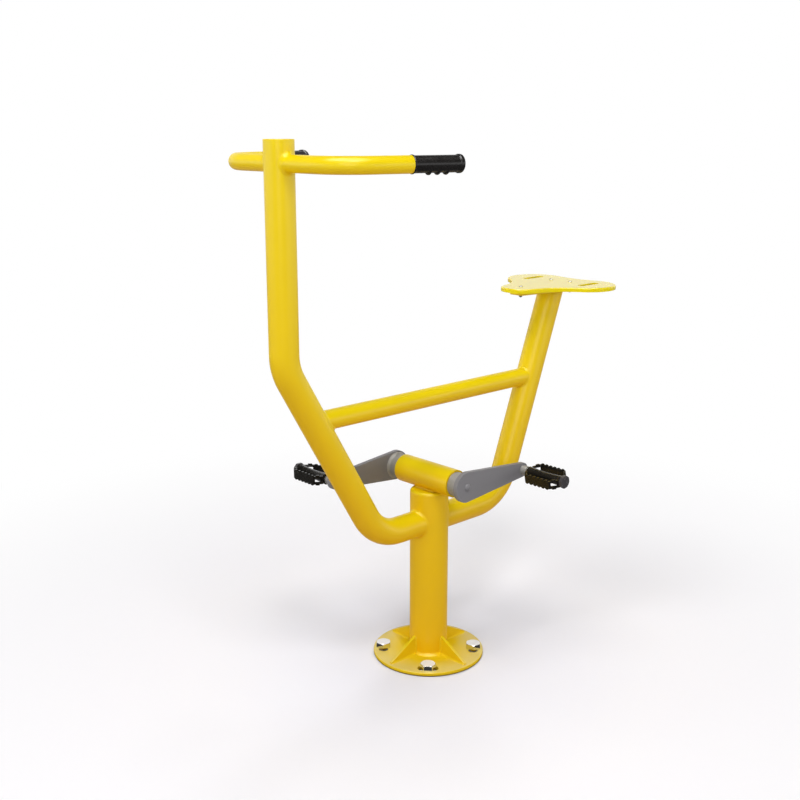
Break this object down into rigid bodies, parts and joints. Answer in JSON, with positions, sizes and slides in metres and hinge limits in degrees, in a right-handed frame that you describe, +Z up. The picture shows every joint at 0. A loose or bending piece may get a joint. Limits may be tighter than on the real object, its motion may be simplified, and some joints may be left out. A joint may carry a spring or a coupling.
{
  "type": "outdoor exercise bike",
  "caption": "Outdoor exercise bike: a bolted post carries a turning crank with free pedals, a bent tube frame, a mast with swept handlebar arms and a flat board seat.",
  "frame": {"origin": "Middle of the base flange's underside, on the ground", "axes": "+X forward from the seat to the handlebar, +Y to the rider's left, +Z up"},
  "size_m": [0.9624, 0.5104, 1.1955],
  "materials": {
    "powder_yellow": "satin powder coat",
    "seat_yellow": "satin",
    "crank_grey": "satin powder coat",
    "hub_grey": "satin",
    "polished_chrome": "polished",
    "machined_steel": "machined",
    "black_plastic": "moulded",
    "black_rubber": "matt",
    "bush_bronze": "machined"
  },
  "bodies": {
    "frame": {"base_flange": "powder_yellow", "base_gussets": "powder_yellow", "base_post": "powder_yellow", "post_cap": "powder_yellow", "anchor_nuts": "polished_chrome", "mast_tube": "powder_yellow", "mast_cap": "powder_yellow", "seat_tube": "powder_yellow", "brace_tube": "powder_yellow", "handlebar_left": "powder_yellow", "handlebar_right": "powder_yellow", "grip_core_left": "machined_steel", "grip_core_right": "machined_steel", "grip_left": "black_rubber", "grip_right": "black_rubber", "seat_plate": "powder_yellow", "seat_board": "seat_yellow", "seat_bolts": "polished_chrome", "seat_washers": "machined_steel", "seat_nuts": "machined_steel", "crank_housing": "powder_yellow", "bearing_outer_rings": "machined_steel", "retaining_rings": "machined_steel", "shaft_seals": "black_rubber"},
    "crank": {"crank_shaft": "machined_steel", "bearing_inner_rings": "machined_steel", "shaft_keys": "machined_steel", "crank_hub_left": "hub_grey", "crank_hub_right": "hub_grey", "crank_arm_left": "crank_grey", "crank_arm_right": "crank_grey", "crank_screws": "crank_grey", "pedal_boss_left": "hub_grey", "pedal_boss_right": "hub_grey", "pedal_spindle_left": "machined_steel", "pedal_spindle_right": "machined_steel", "pedal_lock_nut_left": "machined_steel", "pedal_lock_nut_right": "machined_steel"},
    "left_ball_set": {"bearing_balls_left": "polished_chrome", "ball_cage_left": "black_plastic"},
    "right_ball_set": {"bearing_balls_right": "polished_chrome", "ball_cage_right": "black_plastic"},
    "left_pedal": {"pedal_body_left": "black_plastic", "pedal_bushes_left": "bush_bronze", "pedal_cap_left": "black_plastic"},
    "right_pedal": {"pedal_body_right": "black_plastic", "pedal_bushes_right": "bush_bronze", "pedal_cap_right": "black_plastic"}
  },
  "joints": [
    {"name": "crank_spin", "type": "hinge", "parent": "frame", "child": "crank", "pos_m": [0, 0, 0.4403], "axis": [0, 1, 0], "continuous": true},
    {"name": "left_ball_spin", "type": "hinge", "parent": "frame", "child": "left_ball_set", "pos_m": [0, 0, 0.4403], "axis": [0, 1, 0], "continuous": true},
    {"name": "right_ball_spin", "type": "hinge", "parent": "frame", "child": "right_ball_set", "pos_m": [0, 0, 0.4403], "axis": [0, 1, 0], "continuous": true},
    {"name": "left_pedal_spin", "type": "hinge", "parent": "crank", "child": "left_pedal", "pos_m": [-0.188, 0, 0.4403], "axis": [0, 1, 0], "continuous": true},
    {"name": "right_pedal_spin", "type": "hinge", "parent": "crank", "child": "right_pedal", "pos_m": [0.188, 0, 0.4403], "axis": [0, 1, 0], "continuous": true}
  ],
  "couplings": [
    {"joint": "left_ball_spin", "follows": "crank_spin", "ratio": 0.39872},
    {"joint": "right_ball_spin", "follows": "crank_spin", "ratio": 0.39872}
  ]
}
